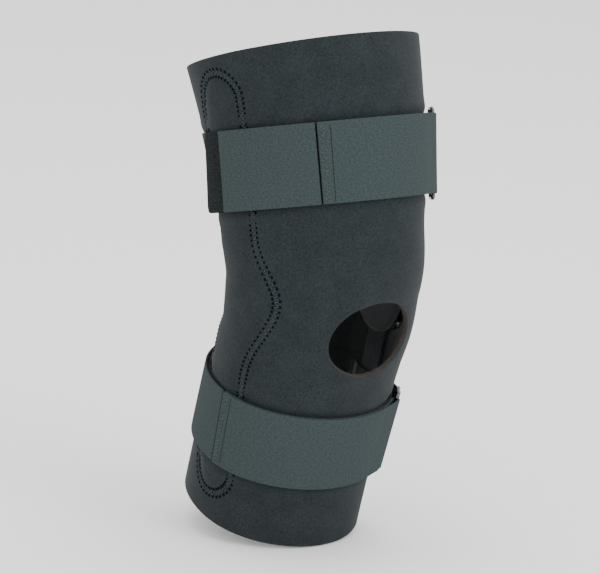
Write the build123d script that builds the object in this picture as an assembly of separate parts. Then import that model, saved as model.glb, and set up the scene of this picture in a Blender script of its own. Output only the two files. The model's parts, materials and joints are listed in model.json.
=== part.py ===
from build123d import *
import math
import os
from dataclasses import dataclass

# A pull-on knee brace: a neoprene sleeve with a kneecap opening, a geared hinged stay down each
# side, and one strap above and one below the knee. Millimetres. The origin is the knee's centre,
# midway between the two hinges. The front of the knee faces -Y, the thigh is up (+Z).

# --- posture and overall sizes -------------------------------------------------------------
LEAN = 13.5                 # each half leans back this far at rest, so the knee is bent by twice it
BEND_LENGTH = 40.0          # the sleeve turns from upright to leaning within this distance
THIGH_LENGTH = 154.0        # knee centre to the top hem
CALF_LENGTH = 155.0         # knee centre to the bottom hem
THIGH_HEM_RISE = 6.5        # the top hem stands higher at the front than at the middle
CALF_HEM_RISE = 1.2
THIGH_STRAP_START = 57.0    # knee centre to the near edge of the strap
CALF_STRAP_START = 62.5

# --- sleeve outline: half width, front depth and back depth from the leg's centre line -----
KNEE_OUTLINE = (65.0, 56.5, 55.0)
THIGH_STRAP_OUTLINE = (67.3, 78.0, 59.5)
THIGH_HEM_OUTLINE = (74.7, 74.3, 75.4)
CALF_STRAP_OUTLINE = (59.8, 49.0, 63.7)
CALF_HEM_OUTLINE = (56.9, 51.2, 67.3)

# --- sleeve ---------------------------------------------------------------------------------
SLEEVE_WALL = 3.2
PANEL_HALF_WIDTH = 40.0
PANEL_MARGIN = 8.0          # sleeve left above and below the kneecap opening
PANEL_CORNER = 20.0
KNEECAP_DROP = 19.8         # centre of the opening below the knee centre
KNEECAP_SIDE = 1.0          # centre of the opening towards +X
KNEECAP_WIDTH = 64.0
KNEECAP_HEIGHT = 50.0

# --- straps ---------------------------------------------------------------------------------
STRAP_WIDTH = 50.8
BAND_THICKNESS = 1.0
ELASTIC_THICKNESS = 1.3
HOOK_THICKNESS = 0.8
HOOK_CORNER = 3.5
THIGH_RING_AZIMUTH = 49.0   # azimuths run from the front, towards +X
CALF_RING_AZIMUTH = 58.0
THIGH_SEAM_AZIMUTH = -35.5
CALF_SEAM_AZIMUTH = -91.0
TAB_LENGTH = 67.5           # woven part of the closure tab, along the strap
HOOK_OVERHANG = 21.0        # hook tape past the woven end
LOOP_LENGTH = 22.0          # ring loop sewn down behind the ring
LOOP_THICKNESS = 1.0
LOOP_THROAT = 13.2          # the loop's two layers lie flat together from here on
BAR_SPACING = 12.5
WIRE_RADIUS = 1.25
WIRE_CORNER = 2.5          # bend of the wire's centre line
RING_SIDE_PLAY = 0.5        # straight bar left past each edge of the strap
FOLD_REACH = 17.0           # the turned strap comes back down within this distance of the bar

# --- hinged stays ----------------------------------------------------------------------------
GEAR_TEETH = 12
PITCH_RADIUS = 9.0
TOOTH_ADDENDUM = 1.2
TOOTH_DEDENDUM = 1.6
PRESSURE_ANGLE = 25.0
TOOTH_BACKLASH = 0.35
TOOTHED_ANGLE = 75.0        # teeth stand this far each way from the mesh line
ARM_WIDTH = 16.0
ARM_THICKNESS = 2.5
ARM_TO_HEM = 20.0           # the arms end this far short of the hems
PLATE_THICKNESS = 1.5
PLATE_HALF_WIDTH = 15.0
PLATE_HALF_HEIGHT = 30.0
PLATE_CORNER = 12.0
ARM_BEND_START = 2.0        # the arm bends towards the sleeve this far past the plates
RIVET_RADIUS = 2.5
RIVET_HEAD_RADIUS = 4.2
RIVET_HEAD_HEIGHT = 0.9
RIVET_HEAD_ROUND = 0.7
STOP_RADIUS = 2.0
STOP_HEIGHT = 24.0
CAP_LENGTH = 14.0
CAP_WALL = 0.7
POCKET_WIDTH = 39.0
POCKET_END = 6.0            # pocket left past the end of the arm
POCKET_WALL = 1.2
PAD_THICKNESS = 5.0
PAD_WIDTH = 46.0
PAD_HEIGHT = 62.0
PAD_ROUND = 2.0

# --- clearances --------------------------------------------------------------------------------
GAP = 0.3                   # between pieces that move apart
BOND = 0.1                  # glue or stitch line between pieces sewn together
PLATE_GAP = 0.1             # each face of an arm to its plate
PIN_PLAY = 0.05             # rivet in an arm, wire in a loop
LAP = 1.0                   # solids of one piece run this far into each other, or past a cut
TURN_LAP = 0.2              # the same for the strap's turn, which is thin

PIVOT_HEIGHT = PITCH_RADIUS
THIGH_ARM_LENGTH = THIGH_LENGTH - ARM_TO_HEM
CALF_ARM_LENGTH = CALF_LENGTH - ARM_TO_HEM
REACH = 260.0               # larger than the brace, for cutting tools
STACK_REACH = 30.0          # taller than anything on a strap


@dataclass
class Half:
    """The thigh or calf half of the brace, measured away from the knee centre."""
    name: str
    side: int
    length: float
    hem_rise: float
    strap_start: float
    strap_outline: tuple
    hem_outline: tuple
    ring_azimuth: float
    seam_azimuth: float
    arm_length: float

    @property
    def strap_middle(self):
        return self.strap_start + STRAP_WIDTH / 2

    @property
    def strap_end(self):
        return self.strap_start + STRAP_WIDTH


THIGH = Half("thigh", 1, THIGH_LENGTH, THIGH_HEM_RISE, THIGH_STRAP_START, THIGH_STRAP_OUTLINE,
             THIGH_HEM_OUTLINE, THIGH_RING_AZIMUTH, THIGH_SEAM_AZIMUTH, THIGH_ARM_LENGTH)
CALF = Half("calf", -1, CALF_LENGTH, CALF_HEM_RISE, CALF_STRAP_START, CALF_STRAP_OUTLINE,
            CALF_HEM_OUTLINE, CALF_RING_AZIMUTH, CALF_SEAM_AZIMUTH, CALF_ARM_LENGTH)


# --- leg outline ---------------------------------------------------------------------------------
def outline_sizes(half, distance):
    """Half width, front and back depth, on the curve through the knee, strap and hem outlines."""
    middle = half.strap_middle
    end = half.length
    at_knee = (distance - middle) * (distance - end) / (middle * end)
    at_strap = distance * (distance - end) / (middle * (middle - end))
    at_hem = distance * (distance - middle) / (end * (end - middle))
    sizes = zip(KNEE_OUTLINE, half.strap_outline, half.hem_outline)
    return [at_knee * k + at_strap * s + at_hem * h for k, s, h in sizes]


def outline_face(half, distance, offset):
    """Face across the upright leg, grown outward by an offset."""
    half_width, front, back = [size + offset for size in outline_sizes(half, distance)]
    front_arc = EllipticalCenterArc((0, 0), half_width, front, start_angle=180, arc_size=180)
    back_arc = EllipticalCenterArc((0, 0), half_width, back, start_angle=0, arc_size=180)
    return Pos(0, 0, half.side * distance) * make_face([front_arc, back_arc])


def outline_point(half, distance, azimuth, offset):
    """Point of the upright outline in the direction of an azimuth."""
    half_width, front, back = [size + offset for size in outline_sizes(half, distance)]
    across = math.sin(math.radians(azimuth))
    forward = math.cos(math.radians(azimuth))
    depth = front if forward > 0 else back
    radius = 1 / math.hypot(across / half_width, forward / depth)
    return Vector(radius * across, -radius * forward, half.side * distance)


def lean_back(half, shape, angle=LEAN):
    """Turn an upright shape about its hinge pivot to the way it stands at rest."""
    pivot = half.side * PIVOT_HEIGHT
    return Pos(0, 0, pivot) * Rot(-half.side * angle, 0, 0) * Pos(0, 0, -pivot) * shape


def solid_leg(half, start, end, offset):
    """Closed lofted stretch of the leg's outline."""
    middles = [start + (end - start) * step / 3 for step in range(4)]
    return loft([outline_face(half, distance, offset) for distance in middles])


def wedge(azimuth_from, azimuth_to):
    """Sector prism about the leg's centre line, between two azimuths."""
    steps = max(2, math.ceil((azimuth_to - azimuth_from) / 30))
    angles = [azimuth_from + (azimuth_to - azimuth_from) * i / steps for i in range(steps + 1)]
    rim = [(REACH * math.sin(math.radians(a)), -REACH * math.cos(math.radians(a))) for a in angles]
    sector = make_face(Polyline((0, 0), *rim, close=True))
    return extrude(sector, REACH, both=True)


def shell(half, start, end, inner, outer, azimuth_from=None, azimuth_to=None):
    """Upright wall between two offsets from the outline, all round or between two azimuths."""
    wall = solid_leg(half, start, end, outer) - solid_leg(half, start, end, inner)
    if azimuth_from is None:
        return wall
    return wall & wedge(azimuth_from, azimuth_to)


def azimuth_after(half, azimuth, arc):
    """Azimuth reached by going an arc length along the strap's middle line."""
    step = math.copysign(1.0, arc)
    left = abs(arc)
    offset = BAND_THICKNESS + ELASTIC_THICKNESS
    here = outline_point(half, half.strap_middle, azimuth, offset)
    while left > 0:
        there = outline_point(half, half.strap_middle, azimuth + step, offset)
        length = (there - here).length
        azimuth += step * min(1.0, left / length)
        left -= length
        here = there
    return azimuth


# --- sleeve ------------------------------------------------------------------------------------
def sleeve_half(half):
    """Rigidly carried end of the sleeve, from the strap's near edge to the tilted hem."""
    past_hem = half.length + abs(half.hem_rise) + LAP
    wall = shell(half, half.strap_start, past_hem, -SLEEVE_WALL, 0)
    front = half.hem_outline[1]
    tilt = math.degrees(math.atan(half.hem_rise / front))
    keep = Box(2 * REACH, 2 * REACH, REACH, align=(Align.CENTER, Align.CENTER, Align.MAX))
    keep = Pos(0, 0, half.length) * Rot(-tilt, 0, 0) * keep
    if half.side < 0:
        keep = keep.mirror(Plane.XY)
    return lean_back(half, wall & keep)


def knee_level(distance, offset):
    """Outline face at a signed distance from the knee centre, turned part way to its lean."""
    half = THIGH if distance >= 0 else CALF
    share = min(1.0, abs(distance) / BEND_LENGTH)
    share = share * share * (3 - 2 * share)
    return lean_back(half, outline_face(half, abs(distance), offset), LEAN * share)


def knee_tube():
    """Bent wall of the sleeve between its two rigidly carried ends."""
    bends = [-BEND_LENGTH, -BEND_LENGTH / 2, 0, BEND_LENGTH / 2, BEND_LENGTH]
    levels = [GAP - CALF_STRAP_START] + bends + [THIGH_STRAP_START - GAP]
    outer = loft([knee_level(level, 0) for level in levels])
    inner = loft([knee_level(level, -SLEEVE_WALL) for level in levels])
    return outer - inner


def front_prism(shape):
    """Carry a flat outline, drawn as seen from the front, through the sleeve's front wall."""
    return extrude(Plane.XZ * shape, REACH)


def panel_outline(margin):
    height = KNEECAP_HEIGHT + 2 * PANEL_MARGIN
    block = RectangleRounded(2 * (PANEL_HALF_WIDTH + margin), height + 2 * margin, PANEL_CORNER)
    return Pos(KNEECAP_SIDE, -KNEECAP_DROP) * block


def sleeve_knee():
    """Part of the sleeve that folds and stretches as the knee bends."""
    return knee_tube() - front_prism(panel_outline(GAP))


def kneecap_panel():
    """Front of the sleeve round the kneecap, with its cut opening."""
    opening = Pos(KNEECAP_SIDE, -KNEECAP_DROP) * Ellipse(KNEECAP_WIDTH / 2, KNEECAP_HEIGHT / 2)
    return knee_tube() & front_prism(panel_outline(0) - opening)


# --- hinged stays, modelled on the +X side -----------------------------------------------------
def inside_x(half, distance, half_strip):
    """X just inside the sleeve at the edges of a flat strip lying along the leg's side."""
    half_width, front, back = [size - SLEEVE_WALL for size in outline_sizes(half, distance)]
    return half_width * math.sqrt(1 - (half_strip / min(front, back)) ** 2) - GAP


def plate_plane():
    """X of the outer plate's outer face: just inside the sleeve at the plate's corners."""
    levels = [(half, distance) for half in (THIGH, CALF) for distance in (0, PLATE_HALF_HEIGHT)]
    return min(inside_x(half, distance, PLATE_HALF_WIDTH) for half, distance in levels)


def hinge_arm_face_x():
    """X of the arms' outer face inside the hinge."""
    return plate_plane() - PLATE_THICKNESS - PLATE_GAP


def arm_face_x(half, distance):
    """X of the arm's outer face along the leg: inside the sleeve with room for the end cap."""
    return inside_x(half, distance, ARM_WIDTH / 2) - CAP_WALL


def involute_half_angle(radius):
    """Half of a tooth's angle at a radius, in radians."""
    base = PITCH_RADIUS * math.cos(math.radians(PRESSURE_ANGLE))
    tooth = math.pi * PITCH_RADIUS / GEAR_TEETH - TOOTH_BACKLASH
    at_pitch = math.tan(math.radians(PRESSURE_ANGLE)) - math.radians(PRESSURE_ANGLE)
    roll = math.acos(min(1.0, base / radius))
    return tooth / 2 / PITCH_RADIUS + at_pitch - (math.tan(roll) - roll)


def tooth(direction):
    """One gear tooth about the origin, pointing in a direction given in degrees from -Y."""
    root = PITCH_RADIUS - TOOTH_DEDENDUM
    tip = PITCH_RADIUS + TOOTH_ADDENDUM
    radii = [root - LAP, root] + [root + (tip - root) * i / 4 for i in range(1, 5)]
    flank = [(r, involute_half_angle(r)) for r in radii]
    points = [(r * math.sin(a), -r * math.cos(a)) for r, a in flank]
    points += [(-x, y) for x, y in reversed(points)]
    return Rot(0, 0, direction) * make_face(Polyline(*points, close=True))


def arm_front_view(half, grow):
    """Arm seen along X, as a flat shape (Y, height above the pivot), standing upright."""
    end = half.arm_length - PIVOT_HEIGHT + grow
    width = ARM_WIDTH + 2 * grow
    shank = Pos(0, (end - width / 2) / 2) * Rectangle(width, end - width / 2)
    return shank + Pos(0, end - width / 2) * Circle(width / 2)


def arm_head(half):
    """Toothed knuckle of an arm, leaning the other way so that the teeth are in mesh at rest."""
    pitch_angle = 360 / GEAR_TEETH
    phase = 0 if half.side > 0 else pitch_angle / 2
    count = int(TOOTHED_ANGLE / pitch_angle)
    head = Circle(PITCH_RADIUS - TOOTH_DEDENDUM)
    for index in range(-count, count + 1):
        head += tooth(phase + index * pitch_angle + LEAN)
    return head


def arm_side_view(half, grow):
    """Arm seen from the front (X, height above the knee centre): bent to follow the sleeve."""
    tip = half.arm_length + grow + LAP
    bends = [PLATE_HALF_HEIGHT + ARM_BEND_START, half.strap_start, half.strap_end]
    bends += [(half.strap_end + tip) / 2, tip]
    outer = [(hinge_arm_face_x(), -REACH), (hinge_arm_face_x(), bends[0])]
    outer += [(arm_face_x(half, distance), distance) for distance in bends[1:]]
    inner = [(x - ARM_THICKNESS - grow, height) for x, height in reversed(outer)]
    outer = [(x + grow, height) for x, height in outer]
    return make_face(Polyline(*outer, *inner, close=True))


def arm_blank(half, grow):
    """Bent strip of the arm without its knuckle, upright, on the +X side."""
    flat = Pos(0, PIVOT_HEIGHT) * arm_front_view(half, grow)
    outline = extrude(Plane.YZ * flat, REACH)
    strip = extrude(Plane.XZ * arm_side_view(half, grow), REACH, both=True) & outline
    return strip if half.side > 0 else strip.mirror(Plane.XY)


def hinge_slab(flat, inner_x, outer_x):
    """Flat shape drawn on YZ, given thickness between two X values."""
    return Pos(inner_x, 0, 0) * extrude(Plane.YZ * flat, outer_x - inner_x)


def knuckle(half):
    """Toothed head of an arm, upright, on the +X side."""
    flat = arm_head(half)
    if half.side < 0:
        flat = flat.mirror(Plane.XZ)
    face = hinge_arm_face_x()
    return hinge_slab(Pos(0, half.side * PIVOT_HEIGHT) * flat, face - ARM_THICKNESS, face)


def rivet_bore(half, radius):
    return Pos(0, 0, half.side * PIVOT_HEIGHT) * Rot(0, 90, 0) * Cylinder(radius, 2 * REACH)


def arm_solid(half):
    """Geared arm, upright, on the +X side."""
    return arm_blank(half, 0) + knuckle(half) - rivet_bore(half, RIVET_RADIUS + PIN_PLAY)


def arm_cap(half):
    """Dipped vinyl cap on the end of an arm, upright, on the +X side."""
    tip = Pos(0, 0, half.side * (half.arm_length - CAP_LENGTH + REACH / 2))
    return (arm_blank(half, CAP_WALL) & tip * Box(REACH, REACH, REACH)) - arm_blank(half, 0)


def pocket(half):
    """Lining strip sewn inside the sleeve, with the channel that the arm slides into."""
    depth = SLEEVE_WALL + 2 * (CAP_WALL + GAP) + ARM_THICKNESS + POCKET_WALL
    spread = math.degrees(POCKET_WIDTH / 2 / half.strap_outline[0])
    end = half.arm_length + CAP_WALL + POCKET_END
    strip = shell(half, half.strap_start, end, -depth, -SLEEVE_WALL - BOND, 90 - spread, 90 + spread)
    return strip - arm_blank(half, CAP_WALL + GAP)


def plate_outline():
    height = 2 * PLATE_HALF_HEIGHT
    return RectangleRounded(2 * PLATE_HALF_WIDTH, height, PLATE_CORNER)


def hinge_plate(outer_x):
    """Cover plate with holes for the two rivets."""
    plate = hinge_slab(plate_outline(), outer_x - PLATE_THICKNESS, outer_x)
    return plate - rivet_bore(THIGH, RIVET_RADIUS) - rivet_bore(CALF, RIVET_RADIUS)


def inner_plate_x():
    """X of the inner plate's outer face."""
    return hinge_arm_face_x() - ARM_THICKNESS - PLATE_GAP


def rivet(half):
    """Rivet through both plates and an arm, with a domed head at each end."""
    low = inner_plate_x() - PLATE_THICKNESS
    high = plate_plane()
    spot = Pos(0, half.side * PIVOT_HEIGHT)
    shaft = hinge_slab(spot * Circle(RIVET_RADIUS), low, high)
    outer_head = hinge_slab(spot * Circle(RIVET_HEAD_RADIUS), high, high + RIVET_HEAD_HEIGHT)
    inner_head = hinge_slab(spot * Circle(RIVET_HEAD_RADIUS), low - RIVET_HEAD_HEIGHT, low)
    outer_rim = outer_head.edges().filter_by(GeomType.CIRCLE).group_by(Axis.X)[-1]
    inner_rim = inner_head.edges().filter_by(GeomType.CIRCLE).group_by(Axis.X)[0]
    outer_head = fillet(outer_rim, RIVET_HEAD_ROUND)
    inner_head = fillet(inner_rim, RIVET_HEAD_ROUND)
    return shaft + outer_head + inner_head


def stop_pin(half):
    """Pin between the plates that an arm's front edge meets when the knee is straight."""
    spot = Pos(-(ARM_WIDTH / 2 + GAP + STOP_RADIUS), half.side * STOP_HEIGHT)
    return hinge_slab(spot * Circle(STOP_RADIUS), inner_plate_x(), plate_plane() - PLATE_THICKNESS)


def condyle_pad():
    """Soft oval pad between the hinge and the side of the knee."""
    top = inner_plate_x() - PLATE_THICKNESS - RIVET_HEAD_HEIGHT - BOND
    pad = hinge_slab(Ellipse(PAD_WIDTH / 2, PAD_HEIGHT / 2), top - PAD_THICKNESS, top)
    return fillet(pad.edges().group_by(Axis.X)[0], PAD_ROUND)


# --- straps ------------------------------------------------------------------------------------
BAND_INNER = BOND
BAND_OUTER = BAND_INNER + BAND_THICKNESS
LAYER_INNER = BAND_OUTER + GAP                          # first layer that opens
TURN_RADIUS = WIRE_RADIUS + PIN_PLAY + ELASTIC_THICKNESS
UPPER_INNER = LAYER_INNER + ELASTIC_THICKNESS + BOND    # the run that comes back over it


def ring_plane(half):
    """Plane of the ring: x along the strap, y across it, z outward, at the wire's centre."""
    low = outline_point(half, half.strap_start, half.ring_azimuth, 0)
    high = outline_point(half, half.strap_end, half.ring_azimuth, 0)
    after = outline_point(half, half.strap_middle, half.ring_azimuth + 1, 0)
    before = outline_point(half, half.strap_middle, half.ring_azimuth - 1, 0)
    across = (high - low).normalized() * half.side
    along = after - before
    outward = along.cross(across).normalized()
    drop = (BAR_SPACING / 2) ** 2 / (2 * min(half.strap_outline))
    height = LAYER_INNER + TURN_RADIUS + drop
    middle = outline_point(half, half.strap_middle, half.ring_azimuth, 0) + outward * height
    return Plane(origin=middle, x_dir=across.cross(outward), z_dir=outward)


def bar(half, x, radius, width):
    """Round bar lying across the strap in the ring's plane."""
    return ring_plane(half) * (Pos(x, 0, 0) * Rot(90, 0, 0) * Cylinder(radius, width))


def strap_profile(half, points, width):
    """Closed profile in the ring's (x, z) plane, carried across the strap's width."""
    flat = Plane.XZ * make_face(Polyline(*points, close=True))
    return ring_plane(half) * extrude(flat, width / 2, both=True)


def ring_xz(half, azimuth, offset):
    """Place of an outline point in the ring's (x, z) plane."""
    point = ring_plane(half).to_local_coords(
        outline_point(half, half.strap_middle, azimuth, offset))
    return point.X, point.Z


def ring(half):
    """Rectangular wire ring."""
    long = STRAP_WIDTH + 2 * RING_SIDE_PLAY + 2 * WIRE_CORNER
    path = RectangleRounded(BAR_SPACING, long, WIRE_CORNER).face().outer_wire()
    start = path.position_at(0)
    section = Plane(origin=start, z_dir=path.tangent_at(0)) * Circle(WIRE_RADIUS)
    return ring_plane(half) * sweep(section, path=path)


def strap_band(half):
    """Pile-faced band sewn round the sleeve under everything else."""
    return shell(half, half.strap_start, half.strap_end, BAND_INNER, BAND_OUTER)


def layer(half, inner, outer, azimuth_from, azimuth_to):
    """Stretch of strap at the strap's level."""
    return shell(half, half.strap_start, half.strap_end, inner, outer, azimuth_from, azimuth_to)


def ring_loop(half):
    """Webbing loop that holds the ring's rear bar, sewn to the band behind it."""
    x = BAR_SPACING / 2
    radius = WIRE_RADIUS + PIN_PLAY + LOOP_THICKNESS
    rear_azimuth = azimuth_after(half, half.ring_azimuth, x)
    end_azimuth = azimuth_after(half, rear_azimuth, LOOP_LENGTH)
    low = BAND_OUTER + BOND
    high = low + 2 * LOOP_THICKNESS
    leg = layer(half, low, high, azimuth_after(half, rear_azimuth, LAP), end_azimuth)
    heel = azimuth_after(half, rear_azimuth, LOOP_THROAT)
    throat = strap_profile(half, [(x, radius), ring_xz(half, heel, high),
                                  ring_xz(half, heel, low), (x, -radius)], STRAP_WIDTH)
    above_band = shell(half, half.strap_start, half.strap_end, low, STACK_REACH)
    body = (bar(half, x, radius, STRAP_WIDTH) + throat) & above_band
    return body + leg - bar(half, x, WIRE_RADIUS + PIN_PLAY, REACH)


def strap_elastic(half):
    """Woven elastic: inner run, turn round the ring's front bar and outer run to the seam."""
    x = -BAR_SPACING / 2
    front_azimuth = azimuth_after(half, half.ring_azimuth, x)
    landing = azimuth_after(half, front_azimuth, -FOLD_REACH)
    seam = half.seam_azimuth
    past_bar = azimuth_after(half, front_azimuth, LAP)
    past_landing = azimuth_after(half, landing, LAP)
    inner_run = layer(half, LAYER_INNER, LAYER_INNER + ELASTIC_THICKNESS, seam, past_bar)
    outer_run = layer(half, UPPER_INNER, UPPER_INNER + ELASTIC_THICKNESS, seam, past_landing)
    top = strap_profile(half, [(x, TURN_RADIUS), (x, TURN_RADIUS - ELASTIC_THICKNESS),
                               ring_xz(half, landing, UPPER_INNER),
                               ring_xz(half, landing, UPPER_INNER + ELASTIC_THICKNESS)],
                        STRAP_WIDTH)
    turn = bar(half, x, TURN_RADIUS, STRAP_WIDTH)
    turn &= strap_profile(half, [(x - TURN_LAP, REACH), (x + REACH, REACH),
                                 (x + REACH, -REACH), (x - TURN_LAP, -REACH)], REACH)
    shape = inner_run + outer_run + top + turn
    return shape - bar(half, x, WIRE_RADIUS + PIN_PLAY, REACH)


def tab_azimuths(half):
    """Azimuths where the closure tab starts, where its weave ends and where its hooks end."""
    start = azimuth_after(half, half.seam_azimuth, -GAP)
    woven_end = azimuth_after(half, start, -TAB_LENGTH)
    return start, woven_end, azimuth_after(half, woven_end, -HOOK_OVERHANG)


def closure_tab(half):
    """Woven face of the closure tab."""
    start, woven_end, _ = tab_azimuths(half)
    inner = LAYER_INNER + HOOK_THICKNESS
    return layer(half, inner, inner + ELASTIC_THICKNESS, woven_end, start)


def tab_hooks(half):
    """Hook tape under the tab, running past its woven end with rounded corners."""
    start, _, hook_end = tab_azimuths(half)
    tape = layer(half, LAYER_INNER, LAYER_INNER + HOOK_THICKNESS, hook_end, start)
    return fillet(end_edges(tape, half, hook_end), HOOK_CORNER)


def end_edges(tape, half, azimuth):
    """The two short edges through the tape's thickness at its free end."""
    low = outline_point(half, half.strap_start, azimuth, LAYER_INNER)
    high = outline_point(half, half.strap_end, azimuth, LAYER_INNER)
    short = [edge for edge in tape.edges() if edge.length < 2 * HOOK_THICKNESS]
    nearest = [min(short, key=lambda edge: (edge.center() - corner).length)
               for corner in (low, high)]
    return nearest


def strap_axes(half):
    """Places whose y axis is the line that the ring, the elastic and the tab each turn about."""
    plane = ring_plane(half)
    seam = tab_azimuths(half)[0]
    fold = UPPER_INNER + ELASTIC_THICKNESS      # the tab folds back over the outer run's end
    low = outline_point(half, half.strap_start, seam, fold)
    high = outline_point(half, half.strap_end, seam, fold)
    across = (high - low) * half.side
    middle = (low + high) / 2
    along = across.cross(Vector(middle.X, middle.Y, 0))
    hinge = Plane(origin=middle, x_dir=along, z_dir=along.cross(across))
    return {
        "ring": Location(plane) * Pos(BAR_SPACING / 2, 0, 0),
        "elastic": Location(plane) * Pos(-BAR_SPACING / 2, 0, 0),
        "tab": Location(hinge),
    }


# --- assembly ------------------------------------------------------------------------------------
def sleeve_nodes():
    return {
        "sleeve_thigh": sleeve_half(THIGH),
        "sleeve_knee": sleeve_knee(),
        "kneecap_panel": kneecap_panel(),
        "sleeve_calf": sleeve_half(CALF),
    }


def strap_nodes(half):
    makers = [strap_band, ring_loop, ring, strap_elastic, closure_tab, tab_hooks]
    return {f"{half.name}_{maker.__name__}": lean_back(half, maker(half)) for maker in makers}


def stay_nodes():
    """Hinged stay and pockets of the +X side."""
    nodes = {
        "hinge_outer_plate": hinge_plate(plate_plane()),
        "hinge_inner_plate": hinge_plate(inner_plate_x()),
        "hinge_pad": condyle_pad(),
    }
    for half in (THIGH, CALF):
        nodes[f"{half.name}_arm"] = lean_back(half, arm_solid(half))
        nodes[f"{half.name}_arm_cap"] = lean_back(half, arm_cap(half))
        nodes[f"{half.name}_pocket"] = lean_back(half, pocket(half))
        nodes[f"{half.name}_rivet"] = rivet(half)
        nodes[f"{half.name}_stop_pin"] = stop_pin(half)
    return nodes


def main():
    os.makedirs("parts", exist_ok=True)
    nodes = sleeve_nodes() | strap_nodes(THIGH) | strap_nodes(CALF)
    for name, shape in stay_nodes().items():
        nodes[f"left_{name}"] = shape
        nodes[f"right_{name}"] = shape.mirror(Plane.YZ)
    for name, shape in nodes.items():
        export_step(shape, f"parts/{name}.step")
        print(f"{name}: {len(shape.solids())} solid, {shape.volume:.0f} mm3")
    for half in (THIGH, CALF):
        for name, place in strap_axes(half).items():
            turned = lean_back(half, place)
            print(f"{half.name} {name} axis at {turned.position}, along {turned.y_axis.direction}")


main()
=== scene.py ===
# %% [markdown]
# # Dressing a pull-on knee brace
# The CAD model holds the brace's structure: geared stays, wire rings and plain solids for the soft
# parts. This script loads it as a fixed frame and builds what the eye sees: the sleeve of faced foam
# rubber, the stitched pockets, the woven straps, and the finish of every piece. The leg's outline
# is worked out here from the same few sizes that the CAD used, so cloth and metal meet.

# %% Load the frame
import bmesh
import bpy
import json
import math
import random
from mathutils import Matrix, Vector, noise


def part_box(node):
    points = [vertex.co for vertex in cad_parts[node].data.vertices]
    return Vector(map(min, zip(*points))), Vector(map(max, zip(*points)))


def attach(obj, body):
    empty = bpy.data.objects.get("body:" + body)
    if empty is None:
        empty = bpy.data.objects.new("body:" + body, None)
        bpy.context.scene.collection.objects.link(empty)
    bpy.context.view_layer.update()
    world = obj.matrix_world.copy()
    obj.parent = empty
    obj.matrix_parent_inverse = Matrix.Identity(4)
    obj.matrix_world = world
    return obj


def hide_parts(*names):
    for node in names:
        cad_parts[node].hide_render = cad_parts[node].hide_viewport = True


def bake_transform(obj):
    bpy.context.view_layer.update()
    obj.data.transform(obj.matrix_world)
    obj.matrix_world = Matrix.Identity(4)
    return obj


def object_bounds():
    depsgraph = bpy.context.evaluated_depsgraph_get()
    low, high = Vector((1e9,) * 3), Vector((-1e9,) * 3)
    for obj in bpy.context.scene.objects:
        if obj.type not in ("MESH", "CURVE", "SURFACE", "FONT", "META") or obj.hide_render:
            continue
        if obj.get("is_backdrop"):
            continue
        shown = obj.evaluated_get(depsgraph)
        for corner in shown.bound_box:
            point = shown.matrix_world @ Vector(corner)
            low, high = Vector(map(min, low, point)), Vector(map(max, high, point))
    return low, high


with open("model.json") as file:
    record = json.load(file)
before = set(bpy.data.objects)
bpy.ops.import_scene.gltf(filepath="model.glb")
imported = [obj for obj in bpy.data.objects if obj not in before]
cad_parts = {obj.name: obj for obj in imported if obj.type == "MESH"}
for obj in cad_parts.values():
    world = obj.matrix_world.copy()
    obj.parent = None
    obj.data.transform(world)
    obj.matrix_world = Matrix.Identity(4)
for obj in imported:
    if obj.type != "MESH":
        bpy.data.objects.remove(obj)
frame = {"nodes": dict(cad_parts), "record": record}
cad_box = [list(corner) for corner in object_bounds()]
nodes = frame["nodes"]
joints = {joint["name"]: joint for joint in frame["record"]["behaviour"]["joints"]}
MM = 0.001
print("CAD box:", cad_box)

# %% [markdown]
# ## The leg's outline
# Every soft piece lies on one bent tube, so one function places them all. Across the leg, the
# outline is two half ellipses that share a width: a front depth and a back depth. Along the leg,
# the three sizes run on a curve through the knee, the strap and the hem. The curve is found by
# Lagrange's formula, which needs only those three places. Near the knee, each half turns about its
# hinge pivot a little at a time, and that bends the tube smoothly.

# %% Outline sizes, in millimetres
LEAN = 13.5
BEND_LENGTH = 40.0
PIVOT = 9.0
STRAP_WIDTH = 50.8
WALL = 3.2
KNEE = (65.0, 56.5, 55.0)
LENGTH = {"thigh": 154.0, "calf": 155.0}
SIDE = {"thigh": 1, "calf": -1}
STRAP_START = {"thigh": 57.0, "calf": 62.5}
STRAP_OUTLINE = {"thigh": (67.3, 78.0, 59.5), "calf": (59.8, 49.0, 63.7)}
HEM_OUTLINE = {"thigh": (74.7, 74.3, 75.4), "calf": (56.9, 51.2, 67.3)}
HEM_RISE = {"thigh": 6.5, "calf": 1.2}


def outline_sizes(half, distance):
    """Half width, front depth and back depth at a distance from the knee."""
    middle = STRAP_START[half] + STRAP_WIDTH / 2
    end = LENGTH[half]
    at_knee = (distance - middle) * (distance - end) / (middle * end)
    at_strap = distance * (distance - end) / (middle * (middle - end))
    at_hem = distance * (distance - middle) / (end * (end - middle))
    sizes = zip(KNEE, STRAP_OUTLINE[half], HEM_OUTLINE[half])
    return [at_knee * k + at_strap * s + at_hem * h for k, s, h in sizes]


def ease(share):
    """Smooth step from 0 to 1."""
    share = min(1.0, max(0.0, share))
    return share * share * (3 - 2 * share)


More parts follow.
